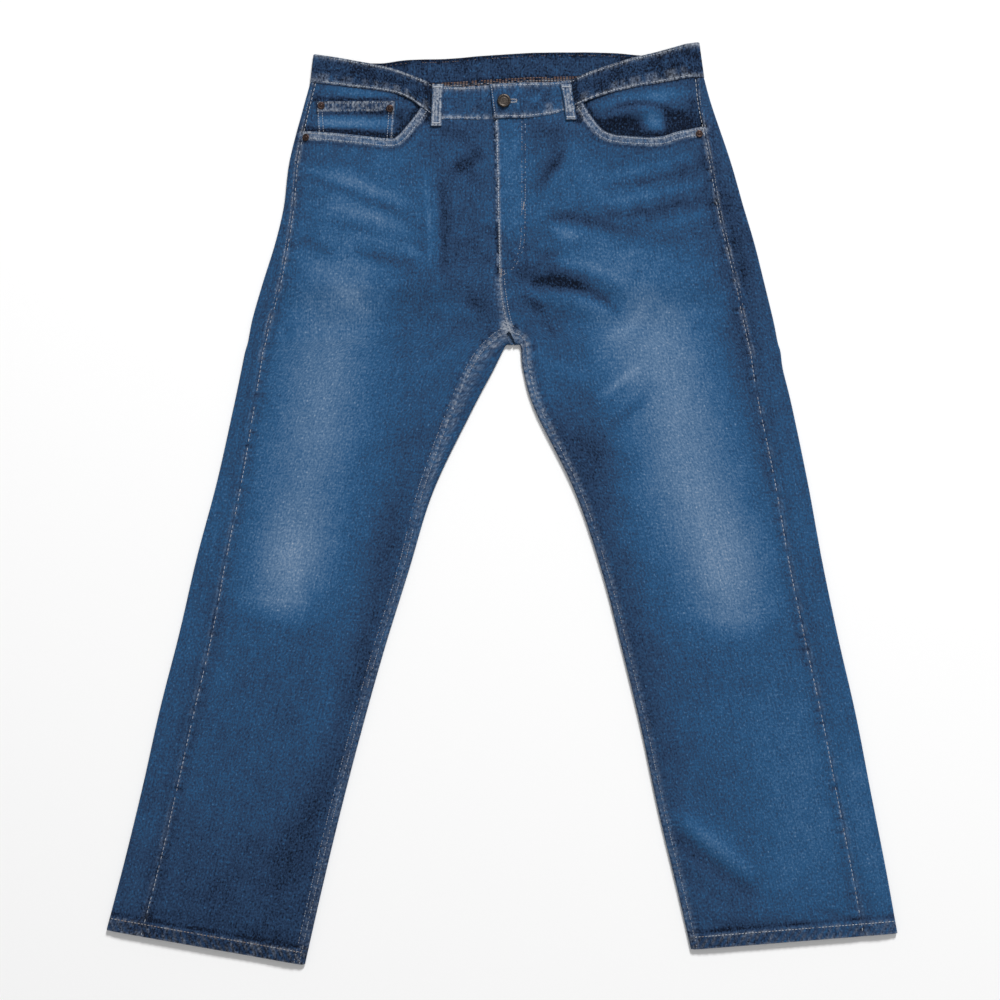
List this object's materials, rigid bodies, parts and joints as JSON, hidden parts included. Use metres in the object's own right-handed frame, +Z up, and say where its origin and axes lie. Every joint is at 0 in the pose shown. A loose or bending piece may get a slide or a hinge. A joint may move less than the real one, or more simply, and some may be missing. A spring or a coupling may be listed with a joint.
{
  "type": "straight leg jeans, laid flat",
  "caption": "Worn mid-blue straight leg denim jeans lying flat, front up, with a buttoned waistband, zip fly, coin pocket and back patch pockets.",
  "frame": {"origin": "middle of the outline on the surface the jeans lie on", "axes": "+Y towards the waist, +Z up out of the front of the jeans, the wearer's right leg at -X"},
  "size_m": [0.9892, 1.1492, 0.0137],
  "materials": {
    "denim": "matte",
    "denim_dark": "matte",
    "pocket_cloth": "matte",
    "zip_tape": "matte",
    "trim_metal": "satin"
  },
  "bodies": {
    "root": {"front_leg_right": "denim", "front_leg_left": "denim", "back_leg_right": "denim_dark", "back_leg_left": "denim_dark", "yoke_right": "denim_dark", "yoke_left": "denim_dark", "waistband": "denim", "pocket_facing_right": "denim_dark", "pocket_facing_left": "denim_dark", "coin_pocket": "denim", "pocket_bag_right": "pocket_cloth", "pocket_bag_left": "pocket_cloth", "back_pocket_right": "denim_dark", "back_pocket_left": "denim_dark", "belt_loop_front_right": "denim", "belt_loop_front_left": "denim", "belt_loop_back_right": "denim_dark", "belt_loop_back_centre": "denim_dark", "belt_loop_back_left": "denim_dark", "zip": "zip_tape", "button": "trim_metal", "rivet_coin_outer": "trim_metal", "rivet_coin_inner": "trim_metal", "rivet_right": "trim_metal", "rivet_left": "trim_metal"}
  },
  "joints": []
}
